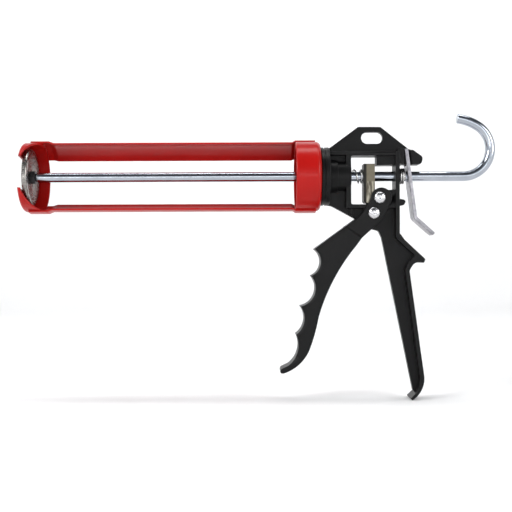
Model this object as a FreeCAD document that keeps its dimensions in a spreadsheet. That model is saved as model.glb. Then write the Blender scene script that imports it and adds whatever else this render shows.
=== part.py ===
import FreeCAD, Part
import Sketcher
import math
import os

# Caulking gun with a revolving half-open cradle, a forked trigger and a thumb release.
# Millimetres and degrees. X runs back along the push rod, Z is up, and the origin lies on
# the rod's axis at the outer face of the front cup. The open side of the cradle faces -Y.

os.makedirs("parts", exist_ok=True)
doc = FreeCAD.newDocument("CaulkingGun")
Vector = FreeCAD.Vector
Placement = FreeCAD.Placement
Rotation = FreeCAD.Rotation

DRIVING_DIMENSIONS = [
    ("sheetThickness", 1.4),
    ("cupRadius", 28.0),
    ("cupShoulder", 3.0),
    ("frontCupDepth", 14.6),
    ("nozzleSlotRadius", 12.5),
    ("rearCupRim", 219.0),
    ("rearCupBack", 239.0),
    ("swivelHoleRadius", 11.3),
    ("strapStart", 5.0),
    ("strapEnd", 235.3),
    ("strapWidthAngle", 57.0),
    ("strapMidAngle", 71.6),
    ("cradleTurn", 8.0),
    ("rodDiameter", 8.0),
    ("rodShoulder", 10.4),
    ("rodStudRadius", 2.95),
    ("hookStart", 354.9),
    ("hookRadius", 22.1),
    ("hookSweep", 147.0),
    ("hookTipRadius", 38.0),
    ("hookTipSweep", 27.0),
    ("pistonRadius", 23.0),
    ("webWidth", 6.0),
    ("frameWidth", 18.0),
    ("padWidth", 12.0),
    ("handleFlangeWidth", 20.0),
    ("neckRadius", 23.5),
    ("stubRadius", 11.0),
    ("bossRadius", 12.4),
    ("rodBoreRadius", 4.4),
    ("springPocketRadius", 6.8),
    ("bushRadius", 6.0),
    ("bushBoreRadius", 4.08),
    ("pivotPlaceX", 281.3),
    ("pivotPlaceZ", -30.0),
    ("pivotBushRadius", 4.5),
    ("pivotPinRadius", 3.0),
    ("drivePlaceX", 285.9),
    ("drivePlaceZ", -17.7),
    ("drivePinRadius", 2.0),
    ("rollerRadius", 3.0),
    ("rollerLength", 17.8),
    ("rivetHeadRadius", 4.7),
    ("rivetHeadHeight", 2.6),
    ("forkGap", 18.6),
    ("cheekWidth", 24.6),
    ("triggerWidth", 22.6),
    ("triggerChannel", 15.6),
    ("pinRunningGap", 0.05),
    ("driverFront", 273.7),
    ("driverThickness", 9.1),
    ("driverWidth", 13.0),
    ("driverTop", 9.8),
    ("driverBottom", -21.6),
    ("returnSpringStart", 247.3),
    ("returnSpringLength", 26.2),
    ("returnSpringRadius", 5.4),
    ("returnSpringWire", 1.2),
    ("returnSpringPitch", 5.0),
    ("releaseSpringStart", 302.4),
    ("releaseSpringLength", 5.6),
    ("releaseSpringRadius", 5.9),
    ("releaseSpringWire", 1.5),
    ("releaseSpringPitch", 1.9),
    ("plateThickness", 2.8),
    ("plateWidth", 17.0),
    ("plateHoleRadius", 4.7),
    ("plateForkGap", 6.8),
]


def buildSheet():
    sheet = doc.addObject("Spreadsheet::Sheet", "Sheet")
    for row, (alias, number) in enumerate(DRIVING_DIMENSIONS, start=1):
        sheet.set(f"A{row}", alias)
        sheet.set(f"B{row}", str(number))
        sheet.setAlias(f"B{row}", alias)
    doc.recompute()
    return sheet


buildSheet()
SIZE = dict(DRIVING_DIMENSIONS)


# Small helpers that every sub-part uses.

def newBody(label):
    body = doc.addObject("PartDesign::Body", label)
    body.Label = label
    return body


def originFeature(body, role):
    return [feature for feature in body.Origin.OriginFeatures if feature.Role == role][0]


def newSketch(body, name, role="XZ_Plane"):
    sketch = body.newObject("Sketcher::SketchObject", name)
    sketch.AttachmentSupport = [(originFeature(body, role), "")]
    sketch.MapMode = "FlatFace"
    return sketch


def corner(u, v, radius=0.0):
    return ("corner", Vector(u, v, 0), radius)


def via(u, v):
    return ("via", Vector(u, v, 0), 0.0)


def roundCorner(before, here, after, radius):
    toBefore = (before - here).normalize()
    toAfter = (after - here).normalize()
    halfAngle = toBefore.getAngle(toAfter) / 2
    reach = radius / math.tan(halfAngle)
    middle = (toBefore + toAfter).normalize()
    crown = here + middle * (radius / math.sin(halfAngle) - radius)
    return here + toBefore * reach, crown, here + toAfter * reach


def addOutline(sketch, points):
    # A closed outline of straight runs, rounded corners and arcs through a "via" point.
    count = len(points)
    entry = {}
    leave = {}
    for index, (kind, here, radius) in enumerate(points):
        if kind == "via":
            continue
        entry[index] = here
        leave[index] = here
        if radius > 0:
            before = points[index - 1][1]
            after = points[(index + 1) % count][1]
            entry[index], crown, leave[index] = roundCorner(before, here, after, radius)
            sketch.addGeometry(Part.Arc(entry[index], crown, leave[index]))
    for index, (kind, here, radius) in enumerate(points):
        if kind == "via":
            start = leave[(index - 1) % count]
            finish = entry[(index + 1) % count]
            sketch.addGeometry(Part.Arc(start, here, finish))
        elif points[(index + 1) % count][0] == "corner":
            sketch.addGeometry(Part.LineSegment(leave[index], entry[(index + 1) % count]))


def addRectangle(sketch, left, bottom, right, top, radius=0.0):
    addOutline(sketch, [
        corner(left, bottom, radius),
        corner(right, bottom, radius),
        corner(right, top, radius),
        corner(left, top, radius),
    ])


def addCircle(sketch, u, v, radiusAlias):
    index = sketch.addGeometry(Part.Circle(Vector(u, v, 0), Vector(0, 0, 1), SIZE[radiusAlias]))
    constraint = sketch.addConstraint(Sketcher.Constraint("Radius", index, SIZE[radiusAlias]))
    sketch.renameConstraint(constraint, radiusAlias)
    sketch.setExpression(f"Constraints.{radiusAlias}", f"Sheet.{radiusAlias}")


def pad(body, sketch, lengthAlias):
    feature = body.newObject("PartDesign::Pad", sketch.Name + "Pad")
    feature.Profile = sketch
    feature.SideType = "Symmetric"
    feature.setExpression("Length", f"Sheet.{lengthAlias}")
    return feature


def pocket(body, sketch, lengthAlias=None):
    # Cuts both ways from the sketch, right through when no length is named.
    feature = body.newObject("PartDesign::Pocket", sketch.Name + "Pocket")
    feature.Profile = sketch
    feature.SideType = "Symmetric"
    if lengthAlias is None:
        feature.Type = "ThroughAll"
    else:
        feature.setExpression("Length", f"Sheet.{lengthAlias}")
    return feature


def turn(body, sketch, role="X_Axis", kind="PartDesign::Revolution", angleAlias=None):
    feature = body.newObject(kind, sketch.Name + "Turn")
    feature.Profile = sketch
    feature.ReferenceAxis = (originFeature(body, role), [""])
    if angleAlias is not None:
        feature.Midplane = True
        feature.setExpression("Angle", f"Sheet.{angleAlias}")
    return feature


def turnBodyAboutRod(body, expression):
    # Positive angles turn the body about -X, from +Z towards +Y.
    body.Placement = Placement(Vector(0, 0, 0), Rotation(Vector(-1, 0, 0), 1))
    body.setExpression(".Placement.Rotation.Angle", expression)


def placeBody(body, aliasX, aliasZ):
    body.setExpression(".Placement.Base.x", f"Sheet.{aliasX}")
    body.setExpression(".Placement.Base.z", f"Sheet.{aliasZ}")


def offsetStrip(points, halfThickness):
    # The two sides of a bent strip whose middle line is given from end to end.
    sides = []
    for sign in (1, -1):
        side = []
        for index, point in enumerate(points):
            runs = []
            if index > 0:
                runs.append((point - points[index - 1]).normalize())
            if index < len(points) - 1:
                runs.append((points[index + 1] - point).normalize())
            normal = Vector(0, 0, 0)
            for run in runs:
                normal = normal + Vector(-run.y, run.x, 0)
            normal = normal.normalize()
            spread = normal.dot(Vector(-runs[0].y, runs[0].x, 0))
            side.append(point + normal * (sign * halfThickness / spread))
        sides.append(side)
    return sides


# The revolving cradle: two pressed cups joined by two curved straps.

def buildFrontCup():
    body = newBody("front_cup")
    section = newSketch(body, "FrontCupSection")
    radius = SIZE["cupRadius"]
    sheetThickness = SIZE["sheetThickness"]
    shoulder = SIZE["cupShoulder"]
    depth = SIZE["frontCupDepth"]
    addOutline(section, [
        corner(0, 0),
        corner(0, radius, shoulder),
        corner(depth, radius),
        corner(depth, radius - sheetThickness),
        corner(sheetThickness, radius - sheetThickness, shoulder - sheetThickness),
        corner(sheetThickness, 0),
    ])
    turn(body, section)
    slotRadius = SIZE["nozzleSlotRadius"]
    lipRadius = 5.5
    mouth = -23.4
    flare = 8.5
    outside = -45.0
    slot = newSketch(body, "NozzleSlot", "YZ_Plane")
    addOutline(slot, [
        corner(0, -slotRadius),
        via(slotRadius, 0),
        corner(0, slotRadius),
        corner(mouth, slotRadius, lipRadius),
        corner(mouth - flare, slotRadius + flare),
        corner(outside, slotRadius + flare),
        corner(outside, -slotRadius - flare),
        corner(mouth - flare, -slotRadius - flare),
        corner(mouth, -slotRadius, lipRadius),
    ])
    pocket(body, slot)
    # The side wall is cut away on the open side, from the lips back to the straps.
    sideCut = newSketch(body, "OpenSide", "XY_Plane")
    lipDepth = 3.0
    addOutline(sideCut, [
        corner(lipDepth, outside),
        corner(lipDepth, mouth + 1.0, 2.0),
        corner(depth + 0.5, -1.2),
        corner(depth + 8.0, -1.2),
        corner(depth + 8.0, outside),
    ])
    body.Tip = pocket(body, sideCut)
    turnBodyAboutRod(body, "Sheet.cradleTurn")
    return body


def buildRearCup():
    body = newBody("rear_cup")
    section = newSketch(body, "RearCupSection")
    rim = SIZE["rearCupRim"]
    back = SIZE["rearCupBack"]
    radius = SIZE["cupRadius"]
    sheetThickness = SIZE["sheetThickness"]
    shoulder = SIZE["cupShoulder"] + 0.6
    hole = SIZE["swivelHoleRadius"]
    rollDepth = 0.7
    rollLength = 2.2
    inner = radius - sheetThickness
    addOutline(section, [
        corner(rim, inner - rollDepth, 0.6),
        corner(rim, radius, 1.2),
        corner(back, radius, shoulder),
        corner(back, hole),
        corner(back - sheetThickness, hole),
        corner(back - sheetThickness, inner, shoulder - sheetThickness),
        corner(rim + rollLength + rollDepth, inner, 0.6),
        corner(rim + rollLength, inner - rollDepth, 0.6),
    ])
    turn(body, section)
    turnBodyAboutRod(body, "Sheet.cradleTurn")
    return body


def buildStrap(label, angleExpression):
    # A strip that follows the cups' curve and steps out over both of them.
    body = newBody(label)
    section = newSketch(body, label.title().replace("_", "") + "Section")
    sheetThickness = SIZE["sheetThickness"]
    outer = SIZE["cupRadius"]
    inner = outer - sheetThickness
    weldGap = 0.05
    start = SIZE["strapStart"]
    finish = SIZE["strapEnd"]
    frontStep = 19.4
    rearStep = 218.9
    stepLength = 3.6
    rearStepLength = 2.2
    slant = 0.4
    bend = 1.2
    addOutline(section, [
        corner(start, outer + weldGap),
        corner(frontStep, outer + weldGap, bend),
        corner(frontStep + stepLength, inner, bend),
        corner(rearStep - rearStepLength, inner, bend),
        corner(rearStep, outer + weldGap, bend),
        corner(finish, outer + weldGap),
        corner(finish, outer + weldGap + sheetThickness),
        corner(rearStep + 0.2, outer + weldGap + sheetThickness, bend),
        corner(rearStep - rearStepLength + 0.2, outer, bend),
        corner(frontStep + stepLength + slant, outer, bend),
        corner(frontStep + slant, outer + weldGap + sheetThickness, bend),
        corner(start, outer + weldGap + sheetThickness),
    ])
    turn(body, section, angleAlias="strapWidthAngle")
    turnBodyAboutRod(body, angleExpression)
    return body


# The die-cast body with its neck, driver window, hanger and rear handle.

def buildBodyCasting():
    body = newBody("body_casting")
    web = newSketch(body, "CastingWeb")
    addOutline(web, [
        corner(244.0, 22.8),
        corner(246.9, 23.0),
        corner(269.8, 39.9, 1.5),
        corner(287.9, 39.8, 1.5),
        corner(310.4, 21.9, 2.0),
        corner(313.6, 20.9, 2.0),
        corner(321.6, 15.2, 3.0),
        corner(320.4, 9.2, 3.0),
        corner(306.1, 9.2),
        corner(302.2, 9.2),
        corner(302.2, -18.3, 0.8),
        corner(308.3, -19.6, 1.7),
        corner(306.2, -23.4, 1.2),
        corner(302.2, -24.2),
        corner(302.2, -46.0, 4.0),
        corner(306.0, -51.4, 8.0),
        corner(322.6, -67.0, 1.4),
        corner(321.4, -69.9, 1.0),
        corner(313.8, -69.6, 5.0),
        corner(309.8, -76.0, 4.0),
        corner(321.1, -159.3),
        via(320.6, -168.0),
        corner(314.6, -177.6),
        corner(315.2, -174.4),
        corner(313.3, -172.9),
        corner(288.5, -49.6, 6.5),
        corner(286.0, -44.0, 3.5),
        corner(277.0, -42.0, 2.0),
        corner(267.5, -34.6),
        corner(248.0, -23.9),
        corner(244.0, -23.3),
    ])
    pad(body, web, "webWidth")

    frame = newSketch(body, "DriverFrame")
    addRectangle(frame, 259.4, -26.0, 302.2, 19.6, 1.0)
    pad(body, frame, "frameWidth")
    topRail = newSketch(body, "TopRail")
    addRectangle(topRail, 244.0, 16.7, 302.2, 19.6)
    pad(body, topRail, "frameWidth")
    rearWall = newSketch(body, "RearWall")
    addRectangle(rearWall, 299.0, -48.0, 302.2, 19.6)
    pad(body, rearWall, "handleFlangeWidth")
    fulcrum = newSketch(body, "FulcrumBlock")
    addRectangle(fulcrum, 301.0, 9.2, 306.1, 22.0, 0.8)
    pad(body, fulcrum, "frameWidth")
    stopLug = newSketch(body, "StopLug")
    addOutline(stopLug, [
        corner(301.0, -18.0),
        corner(303.0, -18.4),
        corner(308.3, -19.6, 1.7),
        corner(306.2, -23.4, 1.2),
        corner(302.4, -24.2),
        corner(301.0, -24.2),
    ])
    pad(body, stopLug, "padWidth")
    rearLug = newSketch(body, "RearLug")
    addOutline(rearLug, [
        corner(311.0, 20.9, 0.6),
        corner(313.6, 20.9, 2.0),
        corner(321.6, 15.2, 3.0),
        corner(320.4, 9.2, 3.0),
        corner(312.6, 9.2, 0.6),
    ])
    pad(body, rearLug, "padWidth")

    pivotBoss = newSketch(body, "PivotBoss")
    bossAround = 8.0
    centre = (SIZE["pivotPlaceX"], SIZE["pivotPlaceZ"])
    addOutline(pivotBoss, [
        corner(centre[0] - bossAround, centre[1]),
        via(centre[0], centre[1] - bossAround),
        corner(centre[0] + bossAround, centre[1]),
        corner(centre[0] + bossAround, -24.0),
        corner(centre[0] - bossAround, -24.0),
    ])
    pad(body, pivotBoss, "frameWidth")
    bossRib = newSketch(body, "BossRib")
    addOutline(bossRib, [
        corner(262.4, -24.5),
        corner(265.4, -24.5),
        corner(265.4, -32.6),
        corner(262.4, -31.0),
    ])
    pad(body, bossRib, "padWidth")

    # Rear flange of the handle, with the thumb rest at the top and the curl at the toe.
    flange = newSketch(body, "HandleFlange")
    addOutline(flange, [
        corner(299.0, -46.0),
        corner(302.2, -46.0, 4.0),
        corner(306.0, -51.4, 8.0),
        corner(322.6, -67.0, 1.4),
        corner(321.4, -69.9, 1.0),
        corner(313.8, -69.6, 5.0),
        corner(309.8, -76.0, 4.0),
        corner(321.1, -159.3),
        via(320.6, -168.0),
        corner(311.8, -180.2, 0.6),
        corner(310.3, -178.3, 0.6),
        corner(315.0, -174.0),
        via(317.2, -168.2),
        corner(317.7, -159.3),
        corner(306.3, -76.0, 5.0),
        corner(308.8, -69.6, 4.0),
        corner(314.2, -63.9, 1.5),
        corner(299.0, -50.0, 3.0),
    ])
    pad(body, flange, "handleFlangeWidth")

    # Turned features on the rod's axis: swivel stub, neck and spring boss.
    neck = newSketch(body, "NeckSection")
    stub = SIZE["stubRadius"]
    neckRadius = SIZE["neckRadius"]
    boss = SIZE["bossRadius"]
    grooveDepth = 0.8
    addOutline(neck, [
        corner(229.8, 0),
        corner(229.8, stub, 0.6),
        corner(239.3, stub),
        corner(239.3, neckRadius, 0.5),
        corner(241.5, neckRadius, 0.3),
        corner(241.5, neckRadius - grooveDepth),
        corner(242.5, neckRadius - grooveDepth),
        corner(242.5, neckRadius, 0.3),
        corner(246.3, neckRadius, 1.0),
        corner(246.3, boss + 1.2),
        corner(252.8, boss + 1.2, 0.5),
        corner(252.8, boss),
        corner(264.4, boss),
        corner(264.4, 0),
    ])
    turn(body, neck)

    window = newSketch(body, "DriverWindow")
    addOutline(window, [
        corner(263.5, -22.9, 1.4),
        corner(291.5, -22.9, 1.0),
        corner(291.5, -11.4, 1.0),
        corner(299.0, -11.4, 1.2),
        corner(299.0, 16.2, 1.2),
        corner(263.5, 16.2, 1.4),
    ])
    pocket(body, window)
    reactionPad = newSketch(body, "ReactionPad")
    addRectangle(reactionPad, 284.2, 8.7, 299.8, 17.4)
    pad(body, reactionPad, "padWidth")
    hanger = newSketch(body, "HangerSlot")
    hangerRadius = 4.75
    addRectangle(hanger, 272.3, 26.2, 289.6, 26.2 + 2 * hangerRadius, hangerRadius - 0.01)
    pocket(body, hanger)
    pivotBore = newSketch(body, "PivotBore")
    addCircle(pivotBore, centre[0], centre[1], "pivotBushRadius")
    pocket(body, pivotBore)

    bores = newSketch(body, "RodBores")
    bushRadius = SIZE["bushRadius"]
    rodBore = SIZE["rodBoreRadius"]
    springPocket = SIZE["springPocketRadius"]
    addOutline(bores, [
        corner(229.0, 0),
        corner(229.0, bushRadius),
        corner(239.6, bushRadius),
        corner(239.6, rodBore),
        corner(247.2, rodBore),
        corner(247.2, springPocket),
        corner(264.8, springPocket),
        corner(264.8, rodBore),
        corner(303.0, rodBore),
        corner(303.0, 0),
    ])
    body.Tip = turn(body, bores, kind="PartDesign::Groove")
    return body


def buildRing(label, start, finish, inner, outer, edge=0.0):
    # A plain turned ring around the rod's axis.
    body = newBody(label)
    section = newSketch(body, label.title().replace("_", "") + "Section")
    addOutline(section, [
        corner(start, inner),
        corner(start, outer, edge),
        corner(finish, outer, edge),
        corner(finish, inner),
    ])
    turn(body, section)
    return body


def buildFrontRodBush():
    body = newBody("front_rod_bush")
    section = newSketch(body, "BushSection")
    bore = SIZE["bushBoreRadius"]
    outer = SIZE["bushRadius"]
    collar = 7.6
    addOutline(section, [
        corner(228.6, bore),
        corner(228.6, collar, 0.4),
        corner(229.8, collar),
        corner(229.8, outer),
        corner(239.6, outer),
        corner(239.6, bore),
    ])
    turn(body, section)
    return body


def buildSwivelNut():
    # A ring nut on the neck's stub, with spanner notches in its rim.
    body = buildRing("swivel_nut", 231.6, 235.8, SIZE["stubRadius"], 15.0, 0.6)
    notches = newSketch(body, "SpannerNotches", "YZ_Plane")
    notchWidth = 3.0
    addRectangle(notches, -notchWidth / 2, 13.2, notchWidth / 2, 16.0)
    notchCut = pocket(body, notches)
    doc.recompute()
    pattern = body.newObject("PartDesign::PolarPattern", "NotchPattern")
    pattern.Originals = [notchCut]
    pattern.Axis = (originFeature(body, "X_Axis"), [""])
    pattern.Angle = 360
    pattern.Occurrences = 6
    body.Tip = pattern
    return body


# The push rod, its hook and the piston at its front end.

def buildPushRod():
    body = newBody("push_rod")
    rodRadius = SIZE["rodDiameter"] / 2
    stud = SIZE["rodStudRadius"]
    shoulder = SIZE["rodShoulder"]
    headFront = 1.7
    headBack = 2.9
    headRadius = 4.6
    hookStart = SIZE["hookStart"]
    nose = newSketch(body, "RodNoseSection")
    addOutline(nose, [
        corner(headFront, 0),
        via(headFront + 0.3, headRadius * 0.6),
        corner(headBack, headRadius),
        corner(headBack, stud),
        corner(shoulder - 1.2, stud),
        corner(shoulder, rodRadius),
        corner(shoulder + 20.0, rodRadius),
        corner(shoulder + 20.0, 0),
    ])
    turn(body, nose)
    path = newSketch(body, "RodPath")
    hookRadius = SIZE["hookRadius"]
    tipRadius = SIZE["hookTipRadius"]
    sweep = math.radians(SIZE["hookSweep"])
    tipSweep = math.radians(SIZE["hookTipSweep"])
    quarter = math.radians(90)
    centre = Vector(hookStart, hookRadius, 0)

    def onArc(middle, radius, angle):
        return middle + Vector(radius * math.cos(angle - quarter), radius * math.sin(angle - quarter), 0)

    bendEnd = onArc(centre, hookRadius, sweep)
    tipCentre = onArc(centre, hookRadius - tipRadius, sweep)
    begin = Vector(shoulder + 10.0, 0, 0)
    path.addGeometry(Part.LineSegment(begin, Vector(hookStart, 0, 0)))
    path.addGeometry(Part.Arc(Vector(hookStart, 0, 0), onArc(centre, hookRadius, sweep / 2), bendEnd))
    path.addGeometry(Part.Arc(
        bendEnd,
        onArc(tipCentre, tipRadius, sweep + tipSweep / 2),
        onArc(tipCentre, tipRadius, sweep + tipSweep),
    ))
    for index in range(2):
        path.addConstraint(Sketcher.Constraint("Coincident", index, 2, index + 1, 1))
    profile = newSketch(body, "RodProfile", "YZ_Plane")
    profile.AttachmentOffset = Placement(Vector(0, 0, begin.x), Rotation())
    profile.addGeometry(Part.Circle(Vector(0, 0, 0), Vector(0, 0, 1), rodRadius))
    doc.recompute()
    rod = body.newObject("PartDesign::AdditivePipe", "RodPipe")
    rod.Profile = profile
    rod.Spine = path
    body.Tip = rod
    return body


def buildPistonPlate():
    # A pressed plate, dished forward at its centre, with a rim turned forward.
    body = newBody("piston_plate")
    section = newSketch(body, "PistonSection")
    outer = SIZE["pistonRadius"]
    plateThickness = 1.2
    hole = SIZE["rodStudRadius"] + SIZE["pinRunningGap"]
    centreBack = 5.0
    rimBack = 7.0
    addOutline(section, [
        corner(centreBack - plateThickness, hole),
        corner(centreBack, hole),
        corner(centreBack, 8.0, 1.5),
        corner(rimBack, 19.0, 4.0),
        corner(rimBack, outer, 1.6),
        corner(rimBack - 4.0, outer),
        corner(rimBack - 4.0, outer - plateThickness),
        corner(rimBack - plateThickness, outer - plateThickness, 0.6),
        corner(rimBack - plateThickness, 19.2, 4.0),
        corner(centreBack - plateThickness, 8.2, 1.5),
    ])
    turn(body, section)
    return body


def buildLockNut():
    body = newBody("piston_lock_nut")
    sides = 6
    flatToFlat = 10.0
    hexagon = newSketch(body, "NutHexagon", "YZ_Plane")
    reach = flatToFlat / 2 / math.cos(math.pi / sides)
    addOutline(hexagon, [
        corner(reach * math.cos(2 * math.pi * side / sides), reach * math.sin(2 * math.pi * side / sides))
        for side in range(sides)
    ])
    block = body.newObject("PartDesign::Pad", "NutPad")
    block.Profile = hexagon
    block.Length = 4.0
    bore = newSketch(body, "NutBore", "YZ_Plane")
    addCircle(bore, 0, 0, "rodStudRadius")
    body.Tip = pocket(body, bore)
    body.Placement = Placement(Vector(5.05, 0, 0), Rotation())
    return body


# The trigger, its two rivets and the roller that pushes the driver.

def buildTrigger():
    body = newBody("trigger")
    pivotX = SIZE["pivotPlaceX"]
    pivotZ = SIZE["pivotPlaceZ"]
    tips = [(233.6, -58.6), (230.9, -80.0), (222.2, -104.4), (218.8, -127.0)]
    hollows = [(238.9, -68.2), (234.6, -90.8), (225.6, -115.2), (220.5, -138.4)]
    blade = newSketch(body, "TriggerBlade")
    outline = [
        corner(279.4, -15.2),
        via(275.9, -24.6),
        corner(265.9, -35.5),
    ]
    for tip, hollow in zip(tips, hollows):
        outline.append(corner(*tip))
        outline.append(via(*hollow))
    outline += [
        corner(212.6, -151.6),
        corner(206.6, -154.5, 1.4),
        corner(205.7, -158.0, 1.5),
        corner(208.8, -158.0),
        via(220.4, -151.7),
        corner(229.5, -139.5),
        via(233.9, -126.4),
        corner(237.0, -113.0),
        via(247.6, -86.0),
        corner(267.4, -55.9),
        corner(271.8, -49.8),
        corner(279.6, -42.8),
        via(287.8, -34.2),
        corner(293.6, -24.0),
        corner(295.6, -20.0),
        via(289.0, -9.9),
    ]
    addOutline(blade, outline)
    pad(body, blade, "triggerWidth")
    # Thicker fork cheeks above the step line.
    cheek = newSketch(body, "ForkCheeks")
    addOutline(cheek, [
        corner(279.4, -15.2),
        via(275.9, -24.6),
        corner(265.9, -35.5),
        corner(258.4, -40.6),
        corner(271.8, -49.8),
        corner(279.6, -42.8),
        via(287.8, -34.2),
        corner(293.6, -24.0),
        corner(295.6, -20.0),
        via(289.0, -9.9),
    ])
    pad(body, cheek, "cheekWidth")
    # The fork's gap clears the casting over the whole swing.
    crotchRadius = 20.5
    gap = newSketch(body, "ForkGap")
    addOutline(gap, [
        corner(pivotX - crotchRadius, pivotZ),
        via(pivotX, pivotZ - crotchRadius),
        corner(pivotX + crotchRadius, pivotZ),
        corner(pivotX + crotchRadius, 0),
        corner(pivotX - crotchRadius, 0),
    ])
    pocket(body, gap, "forkGap")
    channel = newSketch(body, "GripChannel")
    addOutline(channel, [
        corner(263.0, -53.0, 3.0),
        corner(244.0, -67.0, 4.0),
        corner(239.4, -90.0, 4.0),
        corner(230.6, -114.0, 4.0),
        corner(225.4, -137.0, 3.0),
        corner(245.0, -137.0),
        corner(285.0, -62.0),
    ])
    pocket(body, channel, "triggerChannel")
    holes = newSketch(body, "RivetHoles")
    addCircle(holes, pivotX, pivotZ, "pivotPinRadius")
    addCircle(holes, SIZE["drivePlaceX"], SIZE["drivePlaceZ"], "drivePinRadius")
    body.Tip = pocket(body, holes)
    return body


def buildRivet(label, radiusAlias, aliasX, aliasZ):
    # A cross rivet with a domed head on each side of the fork.
    body = newBody(label)
    section = newSketch(body, label.title().replace("_", "") + "Section", "XY_Plane")
    shank = SIZE[radiusAlias]
    head = SIZE["rivetHeadRadius"]
    height = SIZE["rivetHeadHeight"]
    seat = SIZE["cheekWidth"] / 2
    crown = 0.6
    bulge = 0.72
    addOutline(section, [
        corner(0, -seat - height),
        corner(crown, -seat - height),
        via(head * bulge, -seat - height * (bulge - 0.12)),
        corner(head, -seat),
        corner(shank, -seat),
        corner(shank, seat),
        corner(head, seat),
        via(head * bulge, seat + height * (bulge - 0.12)),
        corner(crown, seat + height),
        corner(0, seat + height),
    ])
    turn(body, section, "Y_Axis")
    placeBody(body, aliasX, aliasZ)
    return body


def buildCrossSleeve(label, outerAlias, innerRadius, halfLength, aliasX, aliasZ):
    # A sleeve that lies across the gun.
    body = newBody(label)
    section = newSketch(body, label.title().replace("_", "") + "Section", "XY_Plane")
    outer = SIZE[outerAlias]
    addOutline(section, [
        corner(innerRadius, -halfLength),
        corner(outer, -halfLength),
        corner(outer, halfLength),
        corner(innerRadius, halfLength),
    ])
    turn(body, section, "Y_Axis")
    placeBody(body, aliasX, aliasZ)
    return body


# The driver block, the two springs and the release plate on the rod.

def buildDriverBlock():
    body = newBody("driver_block")
    front = SIZE["driverFront"]
    back = front + SIZE["driverThickness"]
    side = newSketch(body, "DriverSide")
    addOutline(side, [
        corner(front, SIZE["driverBottom"], 2.0),
        corner(back, SIZE["driverBottom"], 0.8),
        corner(back, SIZE["driverTop"], 0.4),
        corner(front, SIZE["driverTop"], 0.4),
    ])
    pad(body, side, "driverWidth")
    bore = newSketch(body, "DriverBore", "YZ_Plane")
    addCircle(bore, 0, 0, "rodBoreRadius")
    body.Tip = pocket(body, bore)
    return body


def buildSpring(label, name):
    body = newBody(label)
    wire = newSketch(body, name.title() + "Wire")
    radius = SIZE[name + "Radius"]
    wireRadius = SIZE[name + "Wire"] / 2
    start = SIZE[name + "Start"] + wireRadius
    wire.addGeometry(Part.Circle(Vector(start, radius, 0), Vector(0, 0, 1), wireRadius))
    doc.recompute()
    coil = body.newObject("PartDesign::AdditiveHelix", name.title() + "Coil")
    coil.Profile = wire
    coil.ReferenceAxis = (originFeature(body, "X_Axis"), [""])
    coil.Mode = "pitch-height-angle"
    coil.setExpression("Pitch", f"Sheet.{name}Pitch")
    coil.setExpression("Height", f"Sheet.{name}Length - Sheet.{name}Wire")
    return body


def buildReleasePlate():
    # A flat strip that leans back from its fork, with a thumb tab bent at the bottom.
    body = newBody("release_plate")
    half = SIZE["plateThickness"] / 2
    middleLine = [Vector(307.8, 21.7, 0), Vector(315.0, -33.8, 0), Vector(329.8, -47.0, 0)]
    left, right = offsetStrip(middleLine, half)
    bend = 2.0
    side = newSketch(body, "PlateSide")
    addOutline(side, [
        corner(left[0].x, left[0].y, 0.6),
        corner(left[1].x, left[1].y, bend),
        corner(left[2].x, left[2].y, 0.8),
        corner(right[2].x, right[2].y, 0.8),
        corner(right[1].x, right[1].y, bend + SIZE["plateThickness"]),
        corner(right[0].x, right[0].y, 0.6),
    ])
    pad(body, side, "plateWidth")
    hole = newSketch(body, "PlateHole", "YZ_Plane")
    addCircle(hole, 0, 0, "plateHoleRadius")
    pocket(body, hole)
    fork = newSketch(body, "PlateFork", "YZ_Plane")
    halfGap = SIZE["plateForkGap"] / 2
    addRectangle(fork, -halfGap, 8.4, halfGap, 30.0)
    pocket(body, fork)
    # The thumb tab's corners are rounded off.
    tabCorner = 6.0
    tabEnd = -49.1
    halfWidth = SIZE["plateWidth"] / 2
    for side, name in ((1, "TabCornerLeft"), (-1, "TabCornerRight")):
        trim = newSketch(body, name, "YZ_Plane")
        arcMiddle = tabCorner * (1 - math.sqrt(0.5))
        addOutline(trim, [
            corner(side * (halfWidth + 1.0), tabEnd + tabCorner),
            corner(side * halfWidth, tabEnd + tabCorner),
            via(side * (halfWidth - arcMiddle), tabEnd + arcMiddle),
            corner(side * (halfWidth - tabCorner), tabEnd),
            corner(side * (halfWidth - tabCorner), tabEnd - 4.0),
            corner(side * (halfWidth + 1.0), tabEnd - 4.0),
        ])
        body.Tip = pocket(body, trim)
    return body


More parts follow.
